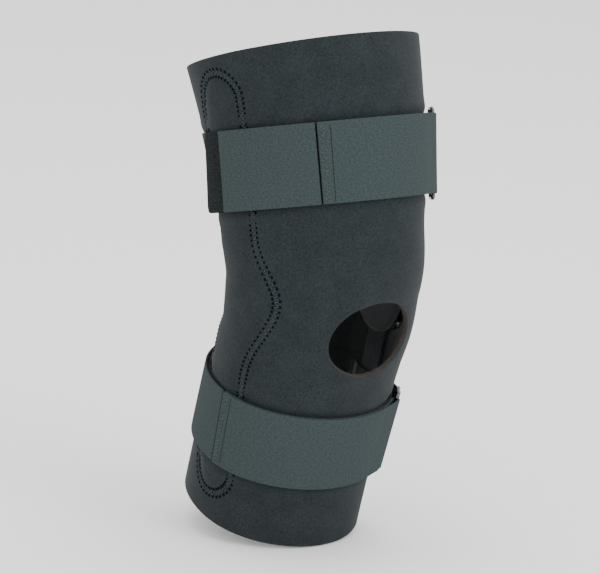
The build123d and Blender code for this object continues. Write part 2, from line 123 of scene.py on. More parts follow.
def on_leg(level, azimuth, offset=0.0):
    """Point on the leg in metres: level is signed (thigh +), azimuth in degrees from the front."""
    half = "thigh" if level >= 0 else "calf"
    side = SIDE[half]
    half_width, front, back = [size + offset for size in outline_sizes(half, abs(level))]
    across = math.sin(math.radians(azimuth))
    forward = math.cos(math.radians(azimuth))
    depth = front if forward > 0 else back
    radius = 1 / math.hypot(across / half_width, forward / depth)
    lean = math.radians(LEAN) * ease(abs(level) / BEND_LENGTH)
    height = abs(level) - PIVOT
    y = -radius * forward * math.cos(lean) + height * math.sin(lean)
    z = radius * forward * math.sin(lean) + height * math.cos(lean) + PIVOT
    return Vector((radius * across, y, side * z)) * MM


def leg_radius(level, azimuth):
    """Distance from the leg's centre line to its outside, in millimetres."""
    half = "thigh" if level >= 0 else "calf"
    half_width, front, back = outline_sizes(half, abs(level))
    across = math.sin(math.radians(azimuth))
    forward = math.cos(math.radians(azimuth))
    depth = front if forward > 0 else back
    return 1 / math.hypot(across / half_width, forward / depth)


def step_round(level, azimuth, arc):
    """Azimuth reached by going an arc length round the leg, in steps of a millimetre."""
    for _ in range(round(abs(arc))):
        azimuth += math.degrees(math.copysign(1.0, arc) / leg_radius(level, azimuth))
    return azimuth


print("front of the knee:", on_leg(0, 0), "top hem:", on_leg(LENGTH["thigh"], 0))

# %% [markdown]
# ## Small tools for meshes
# A soft piece starts as a flat grid, with its own measure kept in a UV map in metres, so that a
# weave follows the cloth wherever the cloth goes. The grid is then laid on the leg. Thickness and
# rounded edges come from the Solidify and Bevel modifiers, applied at once.

# %% Mesh tools
def flat_grid(columns, rows, u_range, v_range):
    """Flat bmesh grid over two ranges in millimetres or degrees."""
    grid = bmesh.new()
    bmesh.ops.create_grid(grid, x_segments=columns, y_segments=rows, size=0.5)
    for vert in grid.verts:
        vert.co.x = u_range[0] + (vert.co.x + 0.5) * (u_range[1] - u_range[0])
        vert.co.y = v_range[0] + (vert.co.y + 0.5) * (v_range[1] - v_range[0])
    return grid


def keep_measure(grid, scale):
    """Writes each corner's flat place, in metres, to a UV map named cloth."""
    layer = grid.loops.layers.uv.new("cloth")
    for face in grid.faces:
        for loop in face.loops:
            loop[layer].uv = (loop.vert.co.x * scale, loop.vert.co.y * MM)


def to_object(grid, name, smooth=True):
    """Turns a bmesh into an object at the origin."""
    mesh = bpy.data.meshes.new(name)
    for face in grid.faces:
        face.smooth = smooth
    grid.to_mesh(mesh)
    grid.free()
    piece = bpy.data.objects.new(name, mesh)
    bpy.context.scene.collection.objects.link(piece)
    return piece


def apply_modifiers(piece):
    """Replaces a piece's mesh by what its modifiers make of it."""
    bpy.context.view_layer.update()
    shown = piece.evaluated_get(bpy.context.evaluated_depsgraph_get())
    mesh = bpy.data.meshes.new_from_object(shown)
    piece.modifiers.clear()
    piece.data = mesh


def thicken(piece, thickness, offset, round_edge, rim_finish=0, inner_finish=0):
    """Gives a sheet its thickness and rounds its cut edges. Offset 1 grows outwards, -1 inwards."""
    wall = piece.modifiers.new("wall", "SOLIDIFY")
    wall.thickness = thickness * MM
    wall.offset = offset
    wall.use_even_offset = True
    wall.material_offset_rim = rim_finish
    wall.material_offset = inner_finish
    edge = piece.modifiers.new("edge", "BEVEL")
    edge.width = round_edge * MM
    edge.segments = 3
    edge.limit_method = "ANGLE"
    edge.angle_limit = math.radians(50)
    apply_modifiers(piece)
    for polygon in piece.data.polygons:
        polygon.use_smooth = True


def face_outwards(grid):
    bmesh.ops.recalc_face_normals(grid, faces=grid.faces)


# %% [markdown]
# ## The pocket outline
# The hinged stay slides into a pocket sewn to each side of the sleeve. The seam is a long loop with
# round ends. Its front side draws in along the arms and has a belly over the hinge, and its back
# side is one long bow. It is drawn flat, as arc round the leg against level along it, then stepped
# off at the stitch length. The same outline raises the sleeve a little, since there is metal under
# it.

# %% Pocket outline
POCKET_AZIMUTH = 89.0
POCKET_HALF = 18.5
POCKET_TOP = 144.0
POCKET_BOTTOM = -137.0
BELLY = 14.5
BELLY_LEVEL = 3.0
BELLY_ABOVE = 19.0
BELLY_BELOW = 22.0
WAIST = 7.0
WAIST_REACH = 70.0
BACK_BOW = 22.0
BACK_REACH = 75.0
DRIFT = 6.0
DRIFT_REACH = 60.0
END_STEP = 6                # degrees between the points of a round end
STITCH_LENGTH = 3.1
SEAM_HALF = 2.5


def pocket_half_width(level, towards_front):
    """Half width of the pocket at a level, on its front or back side."""
    if not towards_front:
        return POCKET_HALF + BACK_BOW * math.exp(-(level / BACK_REACH) ** 2)
    spread = BELLY_ABOVE if level > BELLY_LEVEL else BELLY_BELOW
    belly = BELLY * math.exp(-((level - BELLY_LEVEL) / spread) ** 2)
    return POCKET_HALF + belly - WAIST * math.exp(-(level / WAIST_REACH) ** 2)


def pocket_outline():
    """Closed flat loop of (arc towards the front, level), ends rounded."""
    top = POCKET_TOP - POCKET_HALF
    bottom = POCKET_BOTTOM + POCKET_HALF
    levels = range(round(bottom), round(top) + 1)
    loop = [(pocket_half_width(level, True), level) for level in levels]
    turns = [math.radians(angle) for angle in range(END_STEP, 180, END_STEP)]
    loop += [(POCKET_HALF * math.cos(a), top + POCKET_HALF * math.sin(a)) for a in turns]
    loop += [(-pocket_half_width(level, False), level) for level in reversed(levels)]
    loop += [(-POCKET_HALF * math.cos(a), bottom - POCKET_HALF * math.sin(a)) for a in turns]
    return [Vector(point) for point in loop]


def step_off(loop, length):
    """Places and directions at equal steps round a closed flat loop."""
    ends = loop[1:] + loop[:1]
    total = sum((b - a).length for a, b in zip(loop, ends))
    step = total / round(total / length)
    places = []
    wait = 0.0
    for a, b in zip(loop, ends):
        span = (b - a).length
        while wait < span:
            places.append((a.lerp(b, wait / span), (b - a).normalized()))
            wait += step
        wait -= span
    return places


def pocket_middle(level):
    """Azimuth of the pocket's middle line, which drifts back down the calf."""
    return POCKET_AZIMUTH + DRIFT * ease(-level / DRIFT_REACH)


def pocket_place(side, flat, offset):
    """Point on the leg for a flat place of the pocket on one side (+1 is +X)."""
    arc, level = flat
    azimuth = pocket_middle(level) - math.degrees(arc / leg_radius(level, POCKET_AZIMUTH))
    return on_leg(level, side * azimuth, offset)


def pocket_depth(level, azimuth):
    """How far inside the pocket outline a place is, in millimetres; negative outside it."""
    arc = math.radians(pocket_middle(level) - abs(azimuth)) * leg_radius(level, POCKET_AZIMUTH)
    if level > POCKET_TOP - POCKET_HALF:
        return POCKET_HALF - math.hypot(arc, level - POCKET_TOP + POCKET_HALF)
    if level < POCKET_BOTTOM + POCKET_HALF:
        return POCKET_HALF - math.hypot(arc, level - POCKET_BOTTOM - POCKET_HALF)
    return pocket_half_width(level, arc > 0) - abs(arc)


pocket_loop = pocket_outline()
pocket_steps = step_off(pocket_loop, STITCH_LENGTH)
print("stitches round one pocket:", len(pocket_steps))

# %% [markdown]
# ## The sleeve
# The real sleeve is cut from 3.2 mm foam rubber, faced with knitted nylon outside and brushed tricot
# inside. It is a tube with a raw cut opening for the kneecap. It is made here as one grid laid round
# the leg and closed on itself behind it. A block of the grid is taken out round the kneecap, and the
# block's edge is extruded inwards onto the oval of the opening, so that the cut edge is a clean curve
# with even rings of faces round it. The surface then gets its relief: the swell of the stay, the dent
# of the seam, the soft roll beside each strap and the creases behind the knee.

# %% Sleeve relief
KNEECAP_CENTRE = (1.0, -19.8)
KNEECAP_HALF = (32.0, 25.0)
FAR_OFF = 10.0              # any reach well past the opening's edge, for places behind the leg
STAY_SWELL = 1.1
SWELL_REACH = 9.0
SEAM_DENT = 0.55
DENT_REACH = 2.0
STRAP_DENT = 0.7
STRAP_REACH = 3.0
ROLL_HEIGHT = 0.45          # the soft roll that stands up beside a strap
ROLL_AWAY = 5.0
ROLL_REACH = 3.5
CREASE_DEPTH = 1.5
CREASE_PITCH = 17.0
CREASE_REACH = 30.0
CREASE_WANDER = 4.0
CREASE_FROM = 105.0         # azimuth where the creases start, and how far they take to deepen
CREASE_GROWTH = 50.0
UNEVENNESS = 0.25
WAVES_ROUND = 2.4           # of the slow unevenness; it closes on itself behind the leg


def strap_edges():
    for half in ("thigh", "calf"):
        start = STRAP_START[half]
        yield SIDE[half] * start, SIDE[half] * (start + STRAP_WIDTH)


def sleeve_relief(level, azimuth):
    """Height of the sleeve's face above its plain outline, in millimetres."""
    angle = math.radians(azimuth)
    depth = pocket_depth(level, azimuth)
    relief = STAY_SWELL * ease((depth - SEAM_HALF) / SWELL_REACH)
    relief -= SEAM_DENT * math.exp(-(depth / DENT_REACH) ** 2)
    for near, far in strap_edges():
        inside = min(level - min(near, far), max(near, far) - level)
        relief -= STRAP_DENT * ease(inside / STRAP_REACH + 1)
        relief += ROLL_HEIGHT * math.exp(-((inside + ROLL_AWAY) / ROLL_REACH) ** 2)
    behind = ease((abs(azimuth) - CREASE_FROM) / CREASE_GROWTH)
    behind *= math.exp(-(level / CREASE_REACH) ** 2)
    wander = CREASE_WANDER * math.sin(angle * 3)
    fold = 0.5 + 0.5 * math.cos((level + wander) * 2 * math.pi / CREASE_PITCH)
    relief -= CREASE_DEPTH * behind * fold
    spot = Vector((math.sin(angle), math.cos(angle), level / KNEE[0])) * WAVES_ROUND
    relief += UNEVENNESS * noise.noise(spot)
    return relief


def hem_level(half, azimuth):
    """Level of a hem: tilted, and drawn up a little at the sides."""
    angle = math.radians(azimuth)
    level = LENGTH[half] + HEM_RISE[half] * math.cos(angle)
    return SIDE[half] * level


def kneecap_reach(place):
    """1 on the edge of the kneecap opening, less inside it."""
    across = (place.x / MM - KNEECAP_CENTRE[0]) / KNEECAP_HALF[0]
    up = (place.z / MM - KNEECAP_CENTRE[1]) / KNEECAP_HALF[1]
    return math.hypot(across, up) if place.y < 0 else FAR_OFF


print("front of the knee stands out by", sleeve_relief(0, 0), "mm")

# %% [markdown]
# ## Cutting the sleeve's cloth
# The grid is counted so that a square is about 2.3 mm wide. A row falls on the knee's middle plane,
# where the sleeve is cut in two at the end. Both halves keep the same place at the cut.

# %% Sleeve mesh
SLEEVE_COLUMNS = 180
SLEEVE_ROWS = 132
OPENING_BLOCK = (44.0, 36.0)
OPENING_RINGS = 7
OPENING_SIDE = 90.0         # the opening lies within this azimuth and this share of the length
OPENING_SHARE = 0.9
OPENING_STEPS = 8
SLEEVE_FINISHES = 3         # face, cut edge and inside
SLEEVE_EDGE = 0.5
MERGE = 0.01


def sleeve_level(share, azimuth):
    """Level for a share of the sleeve's length: -1 at the calf hem, 0 at the knee, 1 at the thigh."""
    half = "thigh" if share >= 0 else "calf"
    return abs(share) * hem_level(half, azimuth)


def in_block(face):
    """Whether a flat face lies in the block that is taken out round the kneecap."""
    centre = face.calc_center_median()
    across = math.radians(centre.x) * KNEE[1] - KNEECAP_CENTRE[0]
    up = centre.y * LENGTH["calf"] - KNEECAP_CENTRE[1]
    return abs(across) < OPENING_BLOCK[0] and abs(up) < OPENING_BLOCK[1]


def onto_opening(vert):
    """Slides a flat corner towards the kneecap's centre until it is on the opening's edge."""
    middle = Vector((math.degrees(KNEECAP_CENTRE[0] / KNEE[1]),
                     KNEECAP_CENTRE[1] / LENGTH["calf"], 0.0))
    for _ in range(OPENING_STEPS):
        level = sleeve_level(vert.co.y, vert.co.x)
        reach = kneecap_reach(on_leg(level, vert.co.x))
        vert.co = middle + (vert.co - middle) / reach


def cut_opening(grid):
    """Takes the block out and extrudes its edge onto the oval."""
    bmesh.ops.delete(grid, geom=[face for face in grid.faces if in_block(face)], context="FACES")
    rim = [edge for edge in grid.edges if edge.is_boundary
           and abs(edge.verts[0].co.x) < OPENING_SIDE and abs(edge.verts[0].co.y) < OPENING_SHARE]
    extruded = bmesh.ops.extrude_edge_only(grid, edges=rim)["geom"]
    inner = [item for item in extruded if isinstance(item, bmesh.types.BMVert)]
    for vert in inner:
        onto_opening(vert)
    spokes = {edge for vert in inner for edge in vert.link_edges
              if edge.other_vert(vert) not in inner}
    bmesh.ops.subdivide_edges(grid, edges=list(spokes), cuts=OPENING_RINGS, use_grid_fill=True)


def sleeve_mesh():
    grid = flat_grid(SLEEVE_COLUMNS, SLEEVE_ROWS, (-180, 180), (-1, 1))
    cut_opening(grid)
    for vert in grid.verts:
        vert.co.y = sleeve_level(vert.co.y, vert.co.x)
    keep_measure(grid, math.radians(1) * KNEE[0] * MM)
    for vert in grid.verts:
        level, azimuth = vert.co.y, vert.co.x
        vert.co = on_leg(level, azimuth, sleeve_relief(level, azimuth))
    bmesh.ops.remove_doubles(grid, verts=grid.verts, dist=MERGE * MM)
    face_outwards(grid)
    return grid


def cut_half(whole, half):
    """Copy of the sleeve on one side of the knee's middle plane, closed where it is cut."""
    grid = bmesh.new()
    grid.from_mesh(whole.data)
    everything = grid.verts[:] + grid.edges[:] + grid.faces[:]
    cut = bmesh.ops.bisect_plane(grid, geom=everything, dist=1e-6, plane_co=(0, 0, 0),
                                 plane_no=(0, 0, SIDE[half]), clear_inner=True)
    rim = [item for item in cut["geom_cut"] if isinstance(item, bmesh.types.BMEdge)]
    bmesh.ops.holes_fill(grid, edges=rim)
    for edge in rim:
        edge.smooth = False
    return to_object(grid, f"sleeve_{half}_cloth")


whole_sleeve = to_object(sleeve_mesh(), "whole_sleeve")
for _ in range(SLEEVE_FINISHES):
    whole_sleeve.data.materials.append(None)
thicken(whole_sleeve, WALL, -1, SLEEVE_EDGE, rim_finish=1, inner_finish=2)
sleeve = {half: cut_half(whole_sleeve, half) for half in ("thigh", "calf")}
bpy.data.objects.remove(whole_sleeve)
for half, piece in sleeve.items():
    print(piece.name, len(piece.data.polygons), "faces")

# %% [markdown]
# ## Stitches
# The pocket is sewn with a zigzag. Each stitch is a bead of thread pulled down at both ends, where
# the needle went through and left a small pit. A stretched ball of a few dozen faces is enough
# for each, and hundreds of them follow the outline. Each pit is a flattened near-black bead without
# shine: painted shade of the needle hole.

# %% Stitches
THREAD_RADIUS = 0.45
THREAD_RISE = 0.3
PIT_RADIUS = 1.15
PIT_FLATTEN = 0.5
BEAD_SIDES = 6
BATCH = 40


def add_bead(grid, start, end, radius, outward, flatten=1.0):
    """Adds a stretched ball from start to end."""
    along = end - start
    across = outward.cross(along).normalized()
    up = along.normalized().cross(across)
    turn = Matrix((along / 2, across * radius * MM, up * radius * flatten * MM)).transposed().to_4x4()
    place = Matrix.Translation((start + end) / 2) @ turn
    bmesh.ops.create_uvsphere(grid, u_segments=BEAD_SIDES, v_segments=BEAD_SIDES, radius=1.0,
                              matrix=place @ Matrix.Rotation(math.pi / 2, 4, "Y"))


def bead_object(name, beads):
    """Object of many beads. They are made a few at a time and then joined, which is faster."""
    whole = bmesh.new()
    for first in range(0, len(beads), BATCH):
        batch = bmesh.new()
        for bead in beads[first:first + BATCH]:
            add_bead(batch, *bead)
        mesh = bpy.data.meshes.new("batch")
        batch.to_mesh(mesh)
        batch.free()
        whole.from_mesh(mesh)
        bpy.data.meshes.remove(mesh)
    face_outwards(whole)
    return to_object(whole, name)


def surface_frame(place):
    """Outward direction of the leg at a place given as a function of offset."""
    return (place(1.0) - place(0.0)).normalized()


def pocket_stitches(half):
    """Beads of the zigzag thread and of the needle pits of both pockets, for one half."""
    threads = []
    pits = []
    for side in (1, -1):
        for flat, along in pocket_steps:
            if (flat.y >= 0) != (half == "thigh"):
                continue
            sideways = Vector((-along.y, along.x)) * SEAM_HALF
            ahead = flat + along * STITCH_LENGTH / 2
            height = THREAD_RISE - SEAM_DENT
            corners = [flat + sideways, ahead - sideways, flat + sideways + along * STITCH_LENGTH]
            spots = [pocket_place(side, corner, height) for corner in corners]
            outward = surface_frame(lambda offset: pocket_place(side, flat, offset))
            threads.append((spots[0], spots[1], THREAD_RADIUS, outward))
            threads.append((spots[1], spots[2], THREAD_RADIUS, outward))
            # Pit beads: dark beads at the needle holes, which carry painted shade.
            for spot in spots[:2]:
                reach = (spots[1] - spots[0]).normalized() * PIT_RADIUS * MM
                pits.append((spot - reach, spot + reach, PIT_RADIUS, outward, PIT_FLATTEN))
    return threads, pits


seams = {}
for half in ("thigh", "calf"):
    threads, pits = pocket_stitches(half)
    seams[half] = [bead_object(f"pocket_thread_{half}", threads),
                   bead_object(f"pocket_pits_{half}", pits)]
    print(seams[half][0].name, len(seams[half][0].data.polygons), "faces")

# %% [markdown]
# ## Straps
# Each strap is woven elastic, 50.8 mm wide. It leaves the tab's seam, runs round the front of the leg
# to the wire ring, turns round the ring's bar and comes back over itself. That is one long strip,
# so it is one grid: its length follows a path of azimuth and height over the sleeve, except round
# the bar, where the path is an arc about the joint's own axis. The record gives that axis.

# %% Strap places
BAND = 1.0
ELASTIC = 1.3
HOOK = 0.8
LOOP = 1.0
BOND = 0.1
GAP = 0.3
WIRE = 1.25
BAR_PLAY = 0.05
RING_AZIMUTH = {"thigh": 49.0, "calf": 58.0}
SEAM_AZIMUTH = {"thigh": -35.5, "calf": -91.0}
TAB_LENGTH = 67.5
HOOK_OVERHANG = 21.0
BAR_SPACING = 12.5
LAYER_LOW = BOND + BAND + GAP
LAYER_HIGH = LAYER_LOW + ELASTIC + BOND


def strap_middle(half):
    return SIDE[half] * (STRAP_START[half] + STRAP_WIDTH / 2)


def joint_line(name):
    """Centre and direction of a joint's axis."""
    joint = joints[name]
    return Vector(joint["pos_m"]), Vector(joint["axis"]).normalized()


def bar_point(name, across, angle, radius):
    """Point about a ring's bar: across in mm along it, angle 0 along the strap, 90 outwards."""
    centre, axis = joint_line(name)
    half = name.split("_")[0]
    level = strap_middle(half)
    ahead = on_leg(level, RING_AZIMUTH[half] + 1) - on_leg(level, RING_AZIMUTH[half] - 1)
    outward = ahead.cross(axis).normalized()
    along = axis.cross(outward)
    angle = math.radians(angle)
    turned = along * math.cos(angle) + outward * math.sin(angle)
    return centre + axis * across * MM + turned * radius * MM


for half in ("thigh", "calf"):
    print(half, "strap middle", strap_middle(half), "mm from the knee")

# %% [markdown]
# ## Strips of webbing
# Every strap piece is one strip. A list of rows says how far round the leg each row of points lies
# and how high over the sleeve, and a place function turns a row and a distance across the strap into
# a point in space. Measured lengths along the strip are kept as UVs, so that the weave has one size.

# %% Strips of webbing
STRIP_STEP = 2.0
TURN_STEP = 20.0
STRIP_COLUMNS = 14
STRIP_EDGE = 0.55


def strip(name, rows, thickness, place, edge=STRIP_EDGE):
    """Strip of webbing: place(row, across) gives each point of its middle surface."""
    grid = flat_grid(STRIP_COLUMNS, len(rows) - 1, (-STRAP_WIDTH / 2, STRAP_WIDTH / 2),
                     (0, len(rows) - 1))
    points = {vert: place(rows[round(vert.co.y)], vert.co.x) for vert in grid.verts}
    reach = [0.0]
    for before, after in zip(rows, rows[1:]):
        reach.append(reach[-1] + (place(after, 0.0) - place(before, 0.0)).length / MM)
    for vert in grid.verts:
        vert.co.y = reach[round(vert.co.y)]
    keep_measure(grid, MM)
    for vert, point in points.items():
        vert.co = point
    piece = to_object(grid, name)
    thicken(piece, thickness, 0, edge)
    return piece


def leg_rows(start, end, offset, step=STRIP_STEP):
    """Rows along a strap at one height over the sleeve: (azimuth, offset)."""
    count = max(2, round(abs(end - start) / step))
    return [(start + (end - start) * i / count, offset) for i in range(count + 1)]


def strap_place(half, joint_name):
    """Place function of a strap's strip: rows are (azimuth, offset) or (angle, radius, 'bar')."""
    def place(row, across):
        if len(row) == 3:
            return bar_point(joint_name, across * SIDE[half], row[0], row[1])
        level = strap_middle(half) + across * SIDE[half]
        return on_leg(level, row[0], row[1])
    return place


def turn_rows(start, end, radius):
    """Rows of a turn round a bar, from one angle to another."""
    count = round(abs(end - start) / TURN_STEP)
    return [(start + (end - start) * i / count, radius, "bar") for i in range(count + 1)]


def settle_rows(bar, landing, top, high, count):
    """Rows on which a turned strip comes down from the bar to its height over the sleeve."""
    shares = [i / (count + 1) for i in range(1, count + 1)]
    return [(bar + (landing - bar) * share, top + (high - top) * ease(share)) for share in shares]


print("rows of a quarter turn:", len(turn_rows(0, 90, WIRE)))

# %% [markdown]
# ## Elastic straps and tabs
# The elastic starts at the seam, runs round to the ring, turns about its front bar and comes back
# over itself. The tab carries on from the seam. Its hook tape lies under it and shows past its end,
# with two rounded corners. Towards its free end the tab turns a little and one edge lifts, as it does
# when it has been pressed down by hand.

# %% Elastic straps and tabs
FOLD_REACH = 17.0
FOLD_ROWS = 8
BAR_START = 1.5             # degrees before the bar where the inner run leaves the sleeve
SEAM_ALLOWANCE = 1.0
HOOK_CORNER = 4.5
HOOK_STEP = 1.0
HOOK_EDGE = 0.2
TAB_LIFT = {"thigh": 5.0, "calf": 2.0}
TAB_TURN = {"thigh": 7.0, "calf": 2.0}


def elastic_rows(half):
    """Inner run, turn round the front bar, and outer run."""
    bar = step_round(strap_middle(half), RING_AZIMUTH[half], -BAR_SPACING / 2)
    seam = SEAM_AZIMUTH[half]
    low = LAYER_LOW + ELASTIC / 2
    high = LAYER_HIGH + ELASTIC / 2
    turn_radius = WIRE + BAR_PLAY + ELASTIC / 2
    landing = step_round(strap_middle(half), bar, -FOLD_REACH)
    rows = leg_rows(seam, bar - BAR_START, low)
    rows += turn_rows(-90, 90, turn_radius)
    rows += settle_rows(bar, landing, low + 2 * turn_radius, high, FOLD_ROWS)
    rows += leg_rows(landing, seam, high)
    return rows


def elastic_strap(half):
    rows = elastic_rows(half)
    place = strap_place(half, f"{half}_strap_open")
    return strip(f"{half}_elastic", rows, ELASTIC, place)


def tab_ends(half):
    start = step_round(strap_middle(half), SEAM_AZIMUTH[half], -SEAM_ALLOWANCE)
    woven_end = step_round(strap_middle(half), start, -TAB_LENGTH)
    hook_end = step_round(strap_middle(half), woven_end, -HOOK_OVERHANG)
    return start, woven_end, hook_end


def tab_place(half):
    """Place function of a tab: towards its free end it turns a little and its edge lifts."""
    start, _, hook_end = tab_ends(half)
    straight = strap_place(half, None)

    def place(row, across):
        share = ((row[0] - start) / (hook_end - start)) ** 3
        lift = TAB_LIFT[half] * share * (0.5 - across / STRAP_WIDTH)
        turn = TAB_TURN[half] * share * across / STRAP_WIDTH
        return straight((row[0] + math.degrees(turn / KNEE[0]), row[1] + lift), across)

    return place


def tab_face(half):
    start, woven_end, _ = tab_ends(half)
    height = LAYER_LOW + HOOK + ELASTIC / 2
    rows = leg_rows(start, woven_end, height)
    return strip(f"{half}_tab", rows, ELASTIC, tab_place(half))


def tab_hook_tape(half):
    """Hook tape with rounded corners at its free end."""
    start, _, hook_end = tab_ends(half)
    height = LAYER_LOW + HOOK / 2
    rows = leg_rows(start, hook_end, height, HOOK_STEP)
    straight = tab_place(half)

    def place(row, across):
        left = abs(row[0] - hook_end) * math.radians(1) * leg_radius(strap_middle(half), hook_end)
        room = HOOK_CORNER - min(left, HOOK_CORNER)
        half_width = STRAP_WIDTH / 2 - HOOK_CORNER + math.sqrt(HOOK_CORNER ** 2 - room ** 2)
        return straight(row, across * half_width / (STRAP_WIDTH / 2))

    return strip(f"{half}_hooks", rows, HOOK, place, HOOK_EDGE)


straps = {half: {"elastic": elastic_strap(half), "tab": tab_face(half), "hooks": tab_hook_tape(half)}
          for half in ("thigh", "calf")}
print("straps:", [piece.name for half in straps for piece in straps[half].values()])

# %% [markdown]
# ## Pile bands and ring webbing
# The pile band is sewn round the sleeve and gives the hooks something to grip. The ring webbing is a
# short loop: it turns about the ring's rear bar, and its two layers are sewn down behind it.

# %% Pile bands and ring webbing
LOOP_LENGTH = 22.0
LOOP_THROAT = 12.0
LOOP_START = 2.0            # degrees past the bar where the lower layer leaves the band
LOOP_ROWS = 6


def pile_band(half):
    """Band sewn round the sleeve, its two ends butted together behind the leg."""
    rows = leg_rows(-180, 180, BOND + BAND / 2)
    return strip(f"{half}_pile_band", rows, BAND, strap_place(half, None))


def ring_webbing(half):
    """Short webbing loop round the ring's rear bar, sewn down behind it."""
    bar = step_round(strap_middle(half), RING_AZIMUTH[half], BAR_SPACING / 2)
    end = step_round(strap_middle(half), bar, LOOP_LENGTH)
    landing = step_round(strap_middle(half), bar, LOOP_THROAT)
    radius = WIRE + BAR_PLAY + LOOP / 2
    low = BOND + BAND + BOND + LOOP / 2
    high = low + LOOP + BOND
    top = LAYER_LOW + ELASTIC + 2 * WIRE + LOOP / 2
    rows = leg_rows(end, bar + LOOP_START, low)
    rows += turn_rows(-90, -270, radius)
    rows += settle_rows(bar, landing, top, high, LOOP_ROWS)
    rows += leg_rows(landing, end, high)
    return strip(f"{half}_ring_webbing", rows, LOOP, strap_place(half, f"{half}_ring_swing"))


for half in ("thigh", "calf"):
    straps[half]["band"] = pile_band(half)
    straps[half]["webbing"] = ring_webbing(half)
    for piece in straps[half].values():
        print(piece.name, len(piece.data.polygons), "faces")

# %% [markdown]
# ## The seam where a tab starts
# The end of the outer run and the start of the tab are sewn through with a wide zigzag, and the
# threads fluff up into a mottled band. Two passes of beads, half a stitch apart, cross each other.
# A straight row of sunk stitches closes the band on the side away from the tab; their near-black colour
# is painted shade of the groove they sink into.

# %% Strap seams
ZIGZAG_PITCH = 2.6
ZIGZAG_NEAR = 1.0
ZIGZAG_FAR = 4.8
ROW_OFFSET = 7.4
SEAM_MARGIN = 1.5
SEAM_THREAD = 0.4
SEAM_SEED = 7
NEAR_STRAY = 0.4            # how far a thread's two ends and its height stray
FAR_STRAY = 0.5
HEIGHT_STRAY = 0.1
SUNK_BY = 0.1
SUNK_SPAN = (0.2, 1.0)


def seam_point(half, arc, across, offset):
    """Point on the outer run: arc in mm from its end, across in mm from the strap's middle."""
    level = strap_middle(half)
    azimuth = SEAM_AZIMUTH[half] + math.degrees(arc / leg_radius(level, SEAM_AZIMUTH[half]))
    return on_leg(level + across * SIDE[half], azimuth, offset)


def strap_seam(half):
    """Zigzag threads and the sunk row beside them."""
    top = LAYER_HIGH + ELASTIC
    threads = []
    sunk = []
    count = round((STRAP_WIDTH - 2 * SEAM_MARGIN) / ZIGZAG_PITCH)
    random.seed(SEAM_SEED)
    for index in range(2 * count):
        across = -STRAP_WIDTH / 2 + SEAM_MARGIN + index * ZIGZAG_PITCH / 2
        near = ZIGZAG_NEAR + random.uniform(-NEAR_STRAY, NEAR_STRAY)
        far = ZIGZAG_FAR + random.uniform(-FAR_STRAY, FAR_STRAY)
        outward = surface_frame(lambda offset: seam_point(half, near, across, offset))
        ends = (near, far) if index % 2 else (far, near)
        start = seam_point(half, ends[0], across, top)
        height = top + random.uniform(0, HEIGHT_STRAY)
        end = seam_point(half, ends[1], across + ZIGZAG_PITCH, height)
        threads.append((start, end, SEAM_THREAD, outward))
        row = [seam_point(half, ROW_OFFSET, across + shift, top - SUNK_BY) for shift in SUNK_SPAN]
        sunk.append((*row, SEAM_THREAD, outward))
    return bead_object(f"{half}_seam_thread", threads), bead_object(f"{half}_seam_row", sunk)


for half in ("thigh", "calf"):
    straps[half]["seam_thread"], straps[half]["seam_row"] = strap_seam(half)

# %% [markdown]
# ## Pocket linings
# Inside the sleeve a strip of lining cloth is sewn down over each arm. It lies flat against the foam
# at its stitched edges and rises over the metal between them. It is a grid again, whose height is a
# soft step from the edges to the middle and down again past the arm's tip.

# %% Pocket linings
POCKET_WIDTH = 39.0
LINING = 0.8
LINING_LOW = WALL + BOND + LINING / 2
LINING_HIGH = 8.6
ARM_TO_HEM = 20.0
POCKET_END = 6.7
CREST_HALF = 10.5
SLOPE = 6.5
LINING_COLUMNS = 26
LINING_ROWS = 44
LINING_EDGE = 0.3


def pocket_lining(half, side):
    name = "left" if side > 0 else "right"
    start = STRAP_START[half]
    end = LENGTH[half] - ARM_TO_HEM + POCKET_END
    grid = flat_grid(LINING_COLUMNS, LINING_ROWS, (-POCKET_WIDTH / 2, POCKET_WIDTH / 2), (start, end))
    keep_measure(grid, MM)
    for vert in grid.verts:
        arc, level = vert.co.x, vert.co.y
        crest = ease((CREST_HALF + SLOPE - abs(arc)) / SLOPE) * ease((end - level) / SLOPE)
        offset = -LINING_LOW - (LINING_HIGH - LINING_LOW) * crest
        signed = level * SIDE[half]
        azimuth = 90 - math.degrees(arc / leg_radius(signed, 90))
        vert.co = on_leg(signed, side * azimuth, offset)
    piece = to_object(grid, f"{name}_{half}_lining")
    thicken(piece, LINING, 0, LINING_EDGE)
    return piece


linings = {(half, side): pocket_lining(half, side) for half in ("thigh", "calf") for side in (1, -1)}
print("linings:", [piece.name for piece in linings.values()])

# %% [markdown]
# ## Hinge pads
# An oval pad keeps the hinge off the side of the knee. Two ovals of brushed cloth are sewn round
# their edge with foam between them. The cover starts as a flattened ball and is blown up by a cloth
# simulation with pressure, which gives it the tight crown of a stuffed pad. How far a point may move
# is capped, so the pad stays in its space. The second pad is the first one mirrored.

# %% Hinge pads
PIPING_SIDES = 10
PIPING_STEPS = 72
PAD_START = 0.86
PAD_CROWN = 0.6
PAD_FIT = 0.97
PAD_PRESSURE = 4.0
PAD_FRAMES = 20
PAD_SWELL = 0.9
PIPING_RADIUS = 0.9


pad_low, pad_high = [Vector(corner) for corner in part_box("left_hinge_pad")]
pad_centre = (pad_low + pad_high) / 2
pad_half = (pad_high - pad_low) / 2


